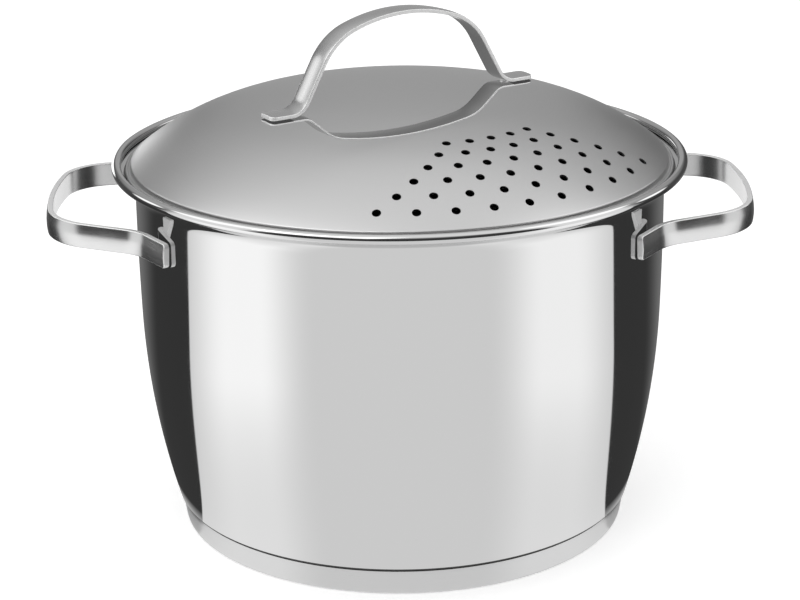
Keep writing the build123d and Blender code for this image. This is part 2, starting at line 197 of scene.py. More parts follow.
@dataclass(frozen=True)
class SteelFinish:
    """Finish of a metal surface: its colour, gloss and the marks that the making left.

    line_spacing, line_depth and haze_size are in millimetres. line_gloss and haze_gloss are how
    far the worked lines and the broad haze push the roughness up and down.
    """

    name: str
    colour: str
    roughness: float
    grain: Grain
    line_spacing: float
    line_depth: float
    line_gloss: float
    haze_size: float
    haze_gloss: float
    line_limits: tuple[float, float] = (0.3, 0.7)
    line_detail: float = 3.0
    line_breakup: float = 0.6
    haze_limits: tuple[float, float] = (0.35, 0.65)
    haze_detail: float = 4.0
    haze_breakup: float = 0.55
    line_stretch: float = 0.02
    rings_swing: float = 1.2

    def grain_coordinates(self, tree: bpy.types.NodeTree) -> bpy.types.NodeSocket:
        """Coordinates in millimetres that run fast across the worked lines and slowly along them.

        Args:
            tree: node tree of the material.

        Returns:
            The socket with the stretched coordinates.
        """
        if self.grain is Grain.LENGTHWISE:
            source = add_node(tree, "ShaderNodeUVMap", {"uv_map": "strap_mm"}).outputs["UV"]
            apart = add_node(tree, "ShaderNodeSeparateXYZ", inputs={0: source})
            scaled = ((apart.outputs["X"], self.line_stretch / self.line_spacing),
                      (apart.outputs["Y"], 1 / self.line_spacing))
        else:
            place = add_node(tree, "ShaderNodeTexCoord").outputs["Object"]
            apart = add_node(tree, "ShaderNodeSeparateXYZ", inputs={0: place})
            x_axis, y_axis, height = apart.outputs
            flat = add_node(tree, "ShaderNodeCombineXYZ", inputs={0: x_axis, 1: y_axis})
            radius = add_node(tree, "ShaderNodeVectorMath", {"operation": "LENGTH"},
                              {0: flat.outputs[0]})
            azimuth = add_node(tree, "ShaderNodeMath", {"operation": "ARCTAN2"},
                               {0: y_axis, 1: x_axis})
            tight = 1 / (self.line_spacing * MM)
            scaled = ((radius.outputs["Value"], tight), (height, tight),
                      (azimuth.outputs[0], self.rings_swing))
        axes = {}
        for index, (value, scale) in enumerate(scaled):
            axes[index] = add_node(tree, "ShaderNodeMath", {"operation": "MULTIPLY"},
                                   {0: value, 1: scale}).outputs[0]
        return add_node(tree, "ShaderNodeCombineXYZ", inputs=axes).outputs[0]

    def build(self) -> bpy.types.Material:
        """Make the Blender material.

        Returns:
            The material, with worked lines in its gloss and relief and a broad haze in its gloss.
        """
        material = bpy.data.materials.new(self.name)
        material.use_nodes = True
        tree = material.node_tree
        shader = tree.nodes["Principled BSDF"]
        shader.inputs["Base Color"].default_value = linear_from_hex(self.colour)
        shader.inputs["Metallic"].default_value = 1.0
        lines = add_node(tree, "ShaderNodeTexNoise", {"noise_dimensions": "3D"},
                         {"Vector": self.grain_coordinates(tree), "Scale": 1.0,
                          "Detail": self.line_detail, "Roughness": self.line_breakup})
        place = add_node(tree, "ShaderNodeTexCoord").outputs["Object"]
        haze = add_node(tree, "ShaderNodeTexNoise", {"noise_dimensions": "3D"},
                        {"Vector": place, "Scale": 1 / (self.haze_size * MM),
                         "Detail": self.haze_detail, "Roughness": self.haze_breakup})
        line_gloss = add_node(tree, "ShaderNodeMapRange", None,
                              {"Value": lines.outputs["Fac"], "From Min": self.line_limits[0],
                               "From Max": self.line_limits[1],
                               "To Min": -self.line_gloss, "To Max": self.line_gloss})
        haze_gloss = add_node(tree, "ShaderNodeMapRange", None,
                              {"Value": haze.outputs["Fac"], "From Min": self.haze_limits[0],
                               "From Max": self.haze_limits[1],
                               "To Min": self.roughness - self.haze_gloss,
                               "To Max": self.roughness + self.haze_gloss})
        total = add_node(tree, "ShaderNodeMath", {"operation": "ADD", "use_clamp": True},
                         {0: line_gloss.outputs["Result"], 1: haze_gloss.outputs["Result"]})
        tree.links.new(total.outputs[0], shader.inputs["Roughness"])
        relief = add_node(tree, "ShaderNodeBump", None,
                          {"Height": lines.outputs["Fac"], "Strength": 1.0,
                           "Distance": self.line_depth * MM})
        tree.links.new(relief.outputs["Normal"], shader.inputs["Normal"])
        return material


# Deep-drawn stainless steel, buffed to a mirror: it shows the studio almost sharp, a little hazy.
MIRROR_STEEL = SteelFinish("mirror_polished_stainless_steel", "#D6D6D6", 0.05, Grain.MIRROR,
                           3.0, 0.0004, 0.005, 60.0, 0.012)
# The same steel left from spinning and sanded inside: soft, with rings that run round the pot.
INNER_STEEL = SteelFinish("sanded_stainless_steel_inside", "#DADADA", 0.36, Grain.SPUN,
                          0.6, 0.0012, 0.03, 40.0, 0.03)
# Painted shade for the seam between pot and base and for the gaps at the straps' tabs: a dull dark
# line.
SEAM_SHADE_STEEL = SteelFinish("seam_painted_shade", "#4A4A4A", 0.55, Grain.SPUN,
                         0.6, 0.004, 0.05, 15.0, 0.05)
# Satin stainless of the lid, rubbed on a wheel while it turns: even and soft, hardly any lines.
# The real lines are about 0.1 mm apart and are drawn wider, so that a render can hold them.
LID_STEEL = SteelFinish("satin_turned_stainless_steel", "#CCCCCC", 0.37, Grain.SPUN,
                        0.7, 0.0015, 0.02, 55.0, 0.015)
# Turned satin cap under the pot, a little lighter and duller than the lid.
BASE_STEEL = SteelFinish("satin_pressed_stainless_cap", "#D2D2D2", 0.32, Grain.SPUN,
                         0.7, 0.0015, 0.03, 45.0, 0.02)
# Bent strap of stainless, belt-sanded along its length and tumbled: silky, with long fine lines.
STRAP_STEEL = SteelFinish("belt_sanded_stainless_strap", "#CECECE", 0.23, Grain.LENGTHWISE,
                          0.45, 0.0015, 0.03, 25.0, 0.02)
# Strap steel painted darker as shade: the lid's lower strap in the shade of the arch over it, and
# the arch's inner side.
SHADED_STRAP_STEEL = SteelFinish("strap_painted_shade", "#909090", 0.14, Grain.LENGTHWISE,
                                 0.45, 0.0015, 0.03, 25.0, 0.02)
# Narrow edges and tips of every strap, tumbled after shearing: rounder and duller, and painted
# lighter as a highlight along them.
EDGE_HIGHLIGHT_STEEL = SteelFinish("tumbled_strap_edge_painted_highlight", "#F2F2F2", 0.58, Grain.LENGTHWISE,
                         0.45, 0.0010, 0.03, 25.0, 0.02)
# Stamped stainless of the folded brackets and the weld spots, blasted to an even bright satin.
BRACKET_STEEL = SteelFinish("blasted_stainless_bracket", "#E6E6E6", 0.55, Grain.SPUN,
                            0.5, 0.002, 0.03, 12.0, 0.03)
# Rolled aluminium of the core inside the base: paler and duller than the steel.
CORE_ALUMINIUM = SteelFinish("rolled_aluminium_core", "#D8D9DB", 0.38, Grain.SPUN,
                             1.2, 0.003, 0.05, 30.0, 0.03)


def object_from(bm: bmesh.types.BMesh, name: str) -> bpy.types.Object:
    """Turn a mesh in millimetres into an object of the scene in metres.

    Args:
        bm: mesh, freed here.
        name: name of the object and of its mesh.

    Returns:
        The object, at the origin.
    """
    bmesh.ops.transform(bm, matrix=Matrix.Scale(MM, 4), verts=bm.verts)
    mesh = bpy.data.meshes.new(name)
    bm.to_mesh(mesh)
    bm.free()
    thing = bpy.data.objects.new(name, mesh)
    bpy.context.scene.collection.objects.link(thing)
    return thing


def mark_sharp_edges(bm: bmesh.types.BMesh, angle: float) -> None:
    """Keep the edges crisp where two faces turn sharply.

    Args:
        bm: mesh, changed in place.
        angle: turn in degrees from which an edge stays crisp.
    """
    for edge in bm.edges:
        if len(edge.link_faces) == 2 and edge.calc_face_angle(0.0) > math.radians(angle):
            edge.smooth = False


def finished(bm: bmesh.types.BMesh, name: str, body: str, sharp_angle: float,
             materials: list[bpy.types.Material]) -> bpy.types.Object:
    """Turn a mesh in millimetres into a finished piece in metres on its body.

    Args:
        bm: mesh, freed here.
        name: name of the piece.
        body: name of the body that it rides on.
        sharp_angle: edges that turn more than this many degrees stay crisp.
        materials: material of each slot, in order.

    Returns:
        The piece, at the origin with its place in its mesh.
    """
    for face in bm.faces:
        face.smooth = True
    mark_sharp_edges(bm, sharp_angle)
    piece = object_from(bm, name)
    for material in materials:
        piece.data.materials.append(material)
    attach(piece, body)
    LOG.info("built %s with %d faces on %s", name, len(piece.data.polygons), body)
    return piece


def spun_section(section: list[Vector], steps: int) -> bmesh.types.BMesh:
    """Spin an open section once around the pot's axis into a closed shell.

    Args:
        section: points of radius and height in millimetres, from the axis round and back to it.
        steps: stretches that the full turn is divided into.

    Returns:
        The mesh, merged and with its faces pointing outwards.
    """
    bm = bmesh.new()
    verts = [bm.verts.new((point.x, 0, point.y)) for point in section]
    edges = [bm.edges.new(pair) for pair in zip(verts, verts[1:])]
    bmesh.ops.spin(bm, geom=verts + edges, cent=(0, 0, 0), axis=(0, 0, 1), angle=math.tau,
                   steps=steps, use_merge=True, use_duplicate=False)
    bmesh.ops.remove_doubles(bm, verts=bm.verts, dist=MERGE_DISTANCE)
    bmesh.ops.dissolve_degenerate(bm, edges=bm.edges, dist=MERGE_DISTANCE)
    bmesh.ops.recalc_face_normals(bm, faces=bm.faces)
    return bm


@dataclass
class PotSizes:
    """Sizes of the pot shell and its base, which the lid and the handles also use."""

    mouth_radius: float = 120.0
    sheet: float = 0.8
    height: float = 173.4
    straight: float = 10.5
    cone_height: float = 7.4
    upper_radius: float = 1950.0
    upper_angle: float = 1.4
    lower_radius: float = 360.0
    flare_radius: float = 8.3
    flare_angle: float = 78.0
    lip_length: float = 1.9
    bead_radius: float = 2.2
    bead_angle: float = 292.0
    foot_edge_radius: float = 1.6
    floor_corner_radius: float = 3.4
    crevice_radius: float = 0.5
    tuck_depth: float = 0.7
    cap_sheet: float = 0.8
    cap_height: float = 11.9
    cap_setback: float = 1.0
    cap_draft: float = 9.2
    cap_edge_radius: float = 1.4
    tuck_clearance: float = 0.3
    base_crevice: float = 0.5
    wall_radius: float = field(init=False)
    foot_height: float = field(init=False)
    floor_height: float = field(init=False)
    flare_start: float = field(init=False)
    cone_angle: float = field(init=False)
    foot_radius: float = field(init=False)
    cap_corner_radius: float = field(init=False)
    tuck_radius: float = field(init=False)

    def __post_init__(self) -> None:
        """Work out the radii and heights that follow from the set sizes."""
        self.wall_radius = self.mouth_radius + self.sheet
        self.foot_height = self.cap_height + self.base_crevice
        self.floor_height = (self.foot_height - self.crevice_radius - self.tuck_depth
                             - self.floor_corner_radius)
        lip_angle = 90 - self.flare_angle
        self.flare_start = (self.height - self.bead_radius * (1 + cosine(lip_angle))
                            - self.lip_length * sine(lip_angle)
                            - self.flare_radius * sine(self.flare_angle))
        upper_rise = self.upper_radius * sine(self.upper_angle)
        lower_rise = (self.flare_start - self.straight - upper_rise - self.foot_height
                      - self.cone_height)
        self.cone_angle = math.degrees(math.asin(sine(self.upper_angle)
                                                 + lower_rise / self.lower_radius))
        swell = self.upper_radius * (1 - cosine(self.upper_angle))
        swell += self.lower_radius * (cosine(self.upper_angle) - cosine(self.cone_angle))
        self.foot_radius = self.wall_radius - swell - self.cone_height * tangent(self.cone_angle)
        self.cap_corner_radius = (self.foot_radius - self.cap_setback
                                  - self.cap_height * tangent(self.cap_draft))
        self.tuck_radius = (self.cap_corner_radius + self.floor_height * tangent(self.cap_draft)
                            - self.cap_sheet / cosine(self.cap_draft) - self.tuck_clearance)


@dataclass
class PotVessel:
    """The pot itself: a drawn shell with a rolled rim on a capped base."""

    sizes: PotSizes
    turn_steps: int = 256
    floor_normal: float = 0.9
    seam_normal: float = -0.3
    rim_turn: float = 60.0
    rim_share: float = 0.2
    rim_segments: int = 2

    def shell_path(self) -> SheetPath:
        """Path of the shell's outer face.

        Returns:
            The path from the middle of the floor to the end of the rolled rim.
        """
        s = self.sizes
        foot_turn = 90 - s.cone_angle
        setback = s.foot_edge_radius * tangent(foot_turn / 2)
        moves = (
            (s.tuck_radius - s.floor_corner_radius, 0),
            (s.floor_corner_radius, 90),
            (s.tuck_depth, 0),
            (s.crevice_radius, -90),
            (s.foot_radius - setback - s.tuck_radius - s.crevice_radius, 0),
            (s.foot_edge_radius, foot_turn),
            (s.cone_height / cosine(s.cone_angle) - setback, 0),
            (s.lower_radius, s.cone_angle - s.upper_angle),
            (s.upper_radius, s.upper_angle),
            (s.straight, 0),
            (s.flare_radius, -s.flare_angle),
            (s.lip_length, 0),
            (s.bead_radius, s.bead_angle),
        )
        return SheetPath((0, s.floor_height), 0, moves, arc_step=6.0, straight_step=3.0)

    def build_shell(self) -> bpy.types.Object:
        """Build the shell with a mirror outside and a sanded inside.

        Returns:
            The finished shell.
        """
        path = self.shell_path()
        section = path.points() + list(reversed(path.points(self.sizes.sheet)))
        bm = spun_section(section, self.turn_steps)
        middle = self.sizes.wall_radius - self.sizes.sheet / 2
        rounding = self.sizes.foot_height + self.sizes.foot_edge_radius
        for face in bm.faces:
            centre = face.calc_center_median()
            outward = Vector((centre.x, centre.y, 0)).dot(face.normal)
            looks_in = outward < 0 or face.normal.z > self.floor_normal
            face.material_index = 1 if looks_in and math.hypot(centre.x, centre.y) < middle else 0
            # The foot's rounding that looks down into the seam with the cap is painted dark as
            # shade.
            looks_down = centre.z < rounding and face.normal.z < self.seam_normal
            if looks_down and face.material_index == 0:
                face.material_index = 2
        piece = finished(bm, "pot_shell", "pot", SHARP_ANGLE,
                         [MIRROR_STEEL.build(), INNER_STEEL.build(), SEAM_SHADE_STEEL.build()])
        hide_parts("pot_body")
        return piece

    def build_cap(self) -> bpy.types.Object:
        """Build the pressed cap that wraps the base.

        Returns:
            The finished cap.
        """
        s = self.sizes
        edge_turn = 90 - s.cap_draft
        setback = s.cap_edge_radius * tangent(edge_turn / 2)
        moves = (
            (s.cap_corner_radius - setback, 0),
            (s.cap_edge_radius, edge_turn),
            (s.cap_height / cosine(s.cap_draft) - setback, 0),
        )
        path = SheetPath((0, 0), 0, moves, arc_step=6.0, straight_step=3.0)
        bm = spun_section(path.points() + list(reversed(path.points(s.cap_sheet))), self.turn_steps)
        rim = [edge for edge in bm.edges
               if edge.calc_face_angle(0.0) > math.radians(self.rim_turn)
               and min(vert.co.z for vert in edge.verts) > s.cap_height / 2]
        bmesh.ops.bevel(bm, geom=rim, offset=s.cap_sheet * self.rim_share,
                        segments=self.rim_segments, profile=0.5, affect="EDGES", material=-1)
        piece = finished(bm, "base_cap_shell", "pot", SHARP_ANGLE, [BASE_STEEL.build()])
        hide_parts("base_cap")
        return piece

    def build(self) -> None:
        """Build the shell and the cap, and dress the aluminium core inside the base."""
        self.build_shell()
        self.build_cap()
        dress_node("base_core", CORE_ALUMINIUM.build())


def dress_node(node: str, material: bpy.types.Material) -> None:
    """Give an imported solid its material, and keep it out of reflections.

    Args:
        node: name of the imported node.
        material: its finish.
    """
    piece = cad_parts[node]
    piece.data.materials.clear()
    piece.data.materials.append(material)
    piece.visible_glossy = False
    LOG.info("dressed %s with %s", node, material.name)


# Painted shade for the gap between a bracket and its strap, and how squarely a face has to look at
# the strap (as a cosine) before it is shaded in part and in full.
GAP_SHADE = "#3C3C3C"
SHADE_STARTS, SHADE_FULL = 0.93, 0.98


def paint_gap_shade(steel: bpy.types.Material, facing: Vector, offset: float) -> None:
    """Paint shade on the side of a bracket that looks towards its strap, where the gap lies in
    shade.

    Args:
        steel: the bracket's finish, changed here.
        facing: direction that the welded side looks in.
        offset: distance in millimetres from the pot's axis beyond which that side lies.
    """
    tree = steel.node_tree
    colour = tree.nodes["Principled BSDF"].inputs["Base Color"]
    place = add_node(tree, "ShaderNodeTexCoord")
    towards = add_node(tree, "ShaderNodeVectorMath", {"operation": "DOT_PRODUCT"},
                       {0: place.outputs["Normal"], 1: facing})
    flat_on = add_node(tree, "ShaderNodeMapRange", None,
                       {"Value": towards.outputs["Value"], "From Min": SHADE_STARTS,
                        "From Max": SHADE_FULL})
    away = add_node(tree, "ShaderNodeVectorMath", {"operation": "DOT_PRODUCT"},
                    {0: place.outputs["Object"], 1: facing})
    outside = add_node(tree, "ShaderNodeMath", {"operation": "GREATER_THAN"},
                       {0: away.outputs["Value"], 1: offset * MM})
    welded = add_node(tree, "ShaderNodeMath", {"operation": "MULTIPLY"},
                      {0: flat_on.outputs["Result"], 1: outside.outputs[0]})
    tone = add_node(tree, "ShaderNodeMix", {"data_type": "RGBA"},
                    {"Factor": welded.outputs[0], 6: colour.default_value[:],
                     7: linear_from_hex(GAP_SHADE)})
    tree.links.new(tone.outputs[2], colour)


@dataclass
class BentStrap:
    """Flat steel strap, blanked, tumbled, then bent the same way on both sides of its middle."""

    half_moves: tuple[tuple[float, float], ...]
    width: float
    thickness: float
    camber: float
    edge_radius: float
    tip_radius: float
    seam_length: float
    seam_inside: bool = True
    finish: SteelFinish = STRAP_STEEL
    inner_finish: SteelFinish = STRAP_STEEL
    bend_step: float = 1.3
    lanes: int = 6
    tip_segments: int = 7
    edge_segments: int = 3
    seam_normal: float = 0.7
    edge_normal: float = 0.85
    normal_weight: int = 60

    def blank(self) -> bmesh.types.BMesh:
        """Make the straight strap, X along it, Y across it and Z into its thickness.

        Returns:
            The mesh with its long edges rounded, cut into short stretches for bending. Material 1,
            painted shade, is on the faces that look into the seam at each tab, 2, with a painted
            highlight, on the edges and 3 on the inner side.
        """
        path = SheetPath((0, 0), 0, self.half_moves)
        half = path.length()
        bm = bmesh.new()
        bmesh.ops.create_grid(bm, x_segments=1, y_segments=1, size=0.5)
        bmesh.ops.scale(bm, vec=(2 * half, self.width, 1), verts=bm.verts)
        bmesh.ops.bevel(bm, geom=list(bm.verts), offset=self.tip_radius,
                        segments=self.tip_segments, profile=0.5, affect="VERTICES", material=-1)
        lifted = bmesh.ops.extrude_face_region(bm, geom=list(bm.faces))
        raised = [item for item in lifted["geom"] if isinstance(item, bmesh.types.BMVert)]
        bmesh.ops.translate(bm, vec=(0, 0, self.thickness), verts=raised)
        bmesh.ops.recalc_face_normals(bm, faces=bm.faces)
        outline = [edge for edge in bm.edges
                   if abs(edge.verts[0].co.z - edge.verts[1].co.z) < self.thickness / 2]
        bmesh.ops.bevel(bm, geom=outline, offset=self.edge_radius,
                        segments=self.edge_segments, profile=0.5, affect="EDGES", material=-1)
        stations = math.ceil(2 * half / self.bend_step)
        for count, extent in ((stations, Vector((2 * half, 0, 0))),
                              (self.lanes, Vector((0, self.width, 0)))):
            for index in range(1, count):
                bmesh.ops.bisect_plane(bm, geom=[*bm.verts, *bm.edges, *bm.faces],
                                       dist=MERGE_DISTANCE, plane_no=extent.normalized(),
                                       plane_co=extent * (index / count - 0.5))
        seam_side = 1 if self.seam_inside else -1
        for face in bm.faces:
            at_end = abs(face.calc_center_median().x) > half - self.seam_length
            # Faces at the tabs that look into the seam are painted dark as shade in the gap.
            if at_end and face.normal.z * seam_side > self.seam_normal:
                face.material_index = 1
            # The narrow edges take the painted highlight.
            elif abs(face.normal.z) < self.edge_normal:
                face.material_index = 2
            else:
                face.material_index = 3 if face.normal.z > 0 else 0
        return bm

    def bend(self, bm: bmesh.types.BMesh) -> None:
        """Mark the strap's own lengths as its UV map and bend it along its path.

        Args:
            bm: the straight strap, changed in place.
        """
        path = SheetPath((0, 0), 0, self.half_moves)
        sheet = bm.loops.layers.uv.new("strap_mm")
        for face in bm.faces:
            for loop in face.loops:
                loop[sheet].uv = (loop.vert.co.x, loop.vert.co.y)
        for vert in bm.verts:
            along, across, depth = vert.co
            crown = self.camber * (2 * across / self.width) ** 2 * (1 - depth / self.thickness)
            at, heading = path.place(abs(along))
            bent = at + ahead(heading + 90) * (depth + crown)
            vert.co = Vector((bent.x if along >= 0 else -bent.x, bent.y, across))
        bmesh.ops.recalc_face_normals(bm, faces=bm.faces)

    def build(self, name: str, body: str, place: Matrix, mirror: bool,
              rest_on: tuple[Vector, float] | None = None) -> bpy.types.Object:
        """Build the bent strap in its place.

        Args:
            name: name of the piece.
            body: body that it rides on.
            place: where the strap's middle goes, X along it and Y into the bend.
            mirror: whether it is the left-hand twin, mirrored across the pot.
            rest_on: centre and radius of a ball that the strap's underside may not enter.

        Returns:
            The finished strap, which is kept out of reflections.
        """
        bm = self.blank()
        self.bend(bm)
        bmesh.ops.transform(bm, matrix=place, verts=bm.verts)
        if rest_on:
            centre, radius = rest_on
            for vert in bm.verts:
                if (vert.co - centre).length < radius:
                    vert.co = centre + (vert.co - centre).normalized() * radius
        if mirror:
            bmesh.ops.scale(bm, vec=(-1, 1, 1), verts=bm.verts)
        bmesh.ops.recalc_face_normals(bm, faces=bm.faces)
        piece = finished(bm, name, body, STRAP_SHARP_ANGLE,
                         [self.finish.build(), SEAM_SHADE_STEEL.build(), EDGE_HIGHLIGHT_STEEL.build(),
                          self.inner_finish.build()])
        piece.visible_glossy = False
        weights = piece.modifiers.new("even_faces", "WEIGHTED_NORMAL")
        weights.keep_sharp = True
        weights.weight = self.normal_weight
        return piece


@dataclass
class SideHandles:
    """The two loop handles and the folded brackets that hold them."""

    pot: PotSizes
    bow: tuple[float, float] = (193.5, 8.5)
    corner: tuple[float, float] = (28.5, 62.5)
    arm_length: float = 19.4
    neck: tuple[float, float] = (18.5, -35.5)
    tab_length: float = 16.7
    width: float = 11.0
    thickness: float = 3.1
    camber: float = 0.7
    edge_radius: float = 0.5
    tip_radius: float = 2.2
    tab_gap: float = 0.8
    ear_length: float = 9.7
    fold_outer_radius: float = 2.2
    weld_start: float = 1.5
    drop: float = 22.1
    tilt: float = 2.3

    def moves(self) -> tuple[tuple[float, float], ...]:
        """Stretches of half a handle, from the middle of its bar to the tip of its tab."""
        return (self.bow, self.corner, (self.arm_length, 0), self.neck, (self.tab_length, 0))

    def reach(self) -> float:
        """Distance from the pot's axis to the outer face of the bar.

        Returns:
            The reach in millimetres that puts the brackets' folds against the wall.
        """
        path = SheetPath((0, 0), 90, self.moves())
        tip, heading = path.place(path.length())
        inward = ahead(heading + 90)
        back = ahead(heading + 180)
        fold = (tip + inward * (self.thickness + self.tab_gap + self.fold_outer_radius)
                + back * self.ear_length)
        span = self.pot.wall_radius + self.fold_outer_radius
        return math.sqrt(span ** 2 - fold.y ** 2) - fold.x

    def build(self) -> None:
        """Build both handles and dress their brackets and weld spots."""
        strap = BentStrap(self.moves(), self.width, self.thickness, self.camber, self.edge_radius,
                          self.tip_radius, self.ear_length)
        place = (Matrix.Translation((self.reach(), 0, self.pot.height - self.drop))
                 @ Matrix.Rotation(math.radians(-self.tilt), 4, "Y")
                 @ Matrix.Rotation(math.radians(90), 4, "Z"))
        tab_turn = self.bow[1] + self.corner[1] + self.neck[1]
        welded_from = self.pot.wall_radius + self.fold_outer_radius * self.weld_start
        for side, way in (("right", 1), ("left", -1)):
            piece = strap.build(f"{side}_handle_strap", "pot", place, side == "left")
            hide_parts(f"{side}_handle_grip")
            for part, depth in (("front_bracket", -1), ("rear_bracket", 1)):
                steel = BRACKET_STEEL.build()
                # The side of each bracket that looks at its strap gets painted shade for the gap.
                paint_gap_shade(steel, Vector((way * cosine(tab_turn), depth * sine(tab_turn), 0)),
                                 welded_from)
                dress_node(f"{side}_{part}", steel)
            dress_node(f"{side}_handle_weld_spots", BRACKET_STEEL.build())


@dataclass
class StrainerLid:
    """The domed lid with its strainer holes and arched handle."""

    pot: PotSizes
    sheet: float = 0.7
    step_height: float = 2.0
    flange_width: float = 1.7
    crown_radius: float = 328.8
    crown_angle: float = 13.2
    shoulder_radius: float = 119.7
    edge_radius: float = 1.3
    groove_radius: float = 0.7
    hem_radius: float = 0.8
    hem_clearance: float = 0.3
    hem_seat_angle: float = 60.6
    turn: float = 31.2
    hole_radius: float = 1.95
    hole_edge_inset: float = 9.2
    hole_arc_pitch: float = 8.9
    hole_pitch_angle: float = 8.23
    hole_arcs: int = 6
    holes_in_first_arc: int = 5
    handle_offset: float = 63.5
    handle_angle: float = -90.4
    strap_width: float = 11.0
    strap_thickness: float = 2.0
    strap_camber: float = 0.4
    strap_edge_radius: float = 0.4
    tip_radius: float = 2.5
    tip_reach: float = 65.5
    tab_rise: float = 12.1
    tab_gap: float = 0.7
    arch_rise: float = 36.8
    arch_crown: tuple[float, float] = (75.0, 19.5)
    arch_corner: tuple[float, float] = (29.0, 41.5)
    arch_neck_radius: float = 7.5
    dip_rise: float = 1.9
    dip_sheet: float = 1.2
    dip_floor: tuple[float, float] = (170.0, 10.5)
    dip_corner: tuple[float, float] = (18.0, 29.5)
    dip_neck_radius: float = 7.0
    turn_steps: int = 288
    hem_steps: int = 24
    hole_steps: int = 28
    punch_length: float = 5.0
    hem_centre: Vector = field(init=False)
    step_radius: float = field(init=False)
    edge_slope: float = field(init=False)
    shoulder_height: float = field(init=False)
    crown_length: float = field(init=False)
    crown_offset: float = field(init=False)
    crown_centre: float = field(init=False)
    top_height: float = field(init=False)

    def __post_init__(self) -> None:
        """Work out where the hem rests and how far the dome's shoulder turns."""
        stand = self.pot.flare_radius + self.pot.sheet + self.hem_clearance + self.hem_radius
        self.hem_centre = Vector((
            self.pot.wall_radius + self.pot.flare_radius - stand * cosine(self.hem_seat_angle),
            self.pot.flare_start + stand * sine(self.hem_seat_angle)))
        self.step_radius = self.hem_centre.x - self.flange_width
        step_top = self.hem_centre.y + self.sheet / 2 + self.step_height
        self.crown_length = math.radians(self.crown_angle) * self.crown_radius
        self.crown_offset = (self.crown_radius - self.shoulder_radius) * sine(self.crown_angle)
        run = self.step_radius - self.edge_radius - self.crown_offset
        self.edge_slope = math.degrees(math.asin(run / (self.shoulder_radius - self.edge_radius)))
        self.shoulder_height = (step_top + self.edge_radius * cosine(self.edge_slope)
                                - self.shoulder_radius * cosine(self.edge_slope))
        crown_rise = (self.crown_radius - self.shoulder_radius) * cosine(self.crown_angle)
        self.crown_centre = self.shoulder_height - crown_rise
        self.top_height = self.crown_centre + self.crown_radius

    def dome_place(self, distance: float) -> tuple[float, float, float]:
        """Place on the dome's outer face.

        Args:
            distance: millimetres along the face from its centre.

        Returns:
            Radius, height and slope in degrees there.
        """
        if distance <= self.crown_length:
            slope = math.degrees(distance / self.crown_radius)
            return (self.crown_radius * sine(slope),
                    self.crown_centre + self.crown_radius * cosine(slope), slope)
        past_crown = distance - self.crown_length
        slope = self.crown_angle + math.degrees(past_crown / self.shoulder_radius)
        return (self.crown_offset + self.shoulder_radius * sine(slope),
                self.shoulder_height + self.shoulder_radius * cosine(slope), slope)

    def section(self) -> list[Vector]:
        """Section of the lid.

        Returns:
            Points from the middle of its outer face, round the hem and back inside.
        """
        bite = math.degrees(math.asin(self.sheet / 2 / self.hem_radius))
        moves = (
            (self.crown_radius, -self.crown_angle),
            (self.shoulder_radius, self.crown_angle - self.edge_slope),
            (self.edge_radius, self.edge_slope - 90),
            (self.step_height - self.groove_radius, 0),
            (self.groove_radius, 90),
            (self.flange_width - self.groove_radius - self.hem_radius * cosine(bite), 0),
        )
        path = SheetPath((0, self.top_height), 0, moves, arc_step=6.0, straight_step=3.0)
        sweep = (360 - 2 * bite) / self.hem_steps
        hem = [self.hem_centre + ahead(180 - bite - sweep * index) * self.hem_radius
               for index in range(1, self.hem_steps)]
        return path.points() + hem + list(reversed(path.points(-self.sheet)))

    def punches(self) -> bpy.types.Object:
        """Round punches for every strainer hole, as one cutting object.

        Returns:
            The cutter, which is removed once the lid is cut.
        """
        bm = bmesh.new()
        length = (self.crown_length
                  + math.radians(self.edge_slope - self.crown_angle) * self.shoulder_radius)
        for arc in range(self.hole_arcs):
            along = length - self.hole_edge_inset - (self.hole_arcs - 1 - arc) * self.hole_arc_pitch
            radius, height, slope = self.dome_place(along)
            count = self.holes_in_first_arc + arc
            for index in range(count):
                azimuth = self.turn - 90 + (index - (count - 1) / 2) * self.hole_pitch_angle
                place = (Matrix.Rotation(math.radians(azimuth), 4, "Z")
                         @ Matrix.Translation((radius, 0, height))
                         @ Matrix.Rotation(math.radians(slope), 4, "Y"))
                bmesh.ops.create_cone(bm, cap_ends=True, cap_tris=False, segments=self.hole_steps,
                                      radius1=self.hole_radius, radius2=self.hole_radius,
                                      depth=self.punch_length, matrix=place)
        return object_from(bm, "hole_punches")

    def build_dome(self) -> bpy.types.Object:
        """Build the domed lid with its step, hem and strainer holes.

        Returns:
            The finished lid.
        """
        bm = spun_section(self.section(), self.turn_steps)
        piece = finished(bm, "lid_dome", "lid", SHARP_ANGLE, [LID_STEEL.build()])
        cutter = self.punches()
        cut = piece.modifiers.new("strainer_holes", "BOOLEAN")
        cut.operation = "DIFFERENCE"
        cut.solver = "EXACT"
        cut.object = cutter
        bpy.context.view_layer.update()
        cut_lid = piece.evaluated_get(bpy.context.evaluated_depsgraph_get())
        punched = bpy.data.meshes.new_from_object(cut_lid)
        piece.modifiers.clear()
        piece.data = punched
        bpy.data.objects.remove(cutter)
        bm = bmesh.new()
        bm.from_mesh(punched)
        mark_sharp_edges(bm, SHARP_ANGLE)
        bm.to_mesh(punched)
        bm.free()
        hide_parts("lid_shell")
        return piece

    def handle_place(self, height: float) -> Matrix:
        """Place over the lid handle's middle, X along the handle and Y straight down.

        Args:
            height: height of the strap's outer face in millimetres.

        Returns:
            The matrix that carries a bent strap there.
        """
        along = ahead(self.turn).to_3d()
        middle = (ahead(self.handle_angle) * self.handle_offset).to_3d() + Vector((0, 0, height))
        across = along.cross(Vector((0, 0, 1)))
        turned = Matrix((-along, across.cross(-along), across)).transposed().to_4x4()
        return Matrix.Translation(middle) @ turned

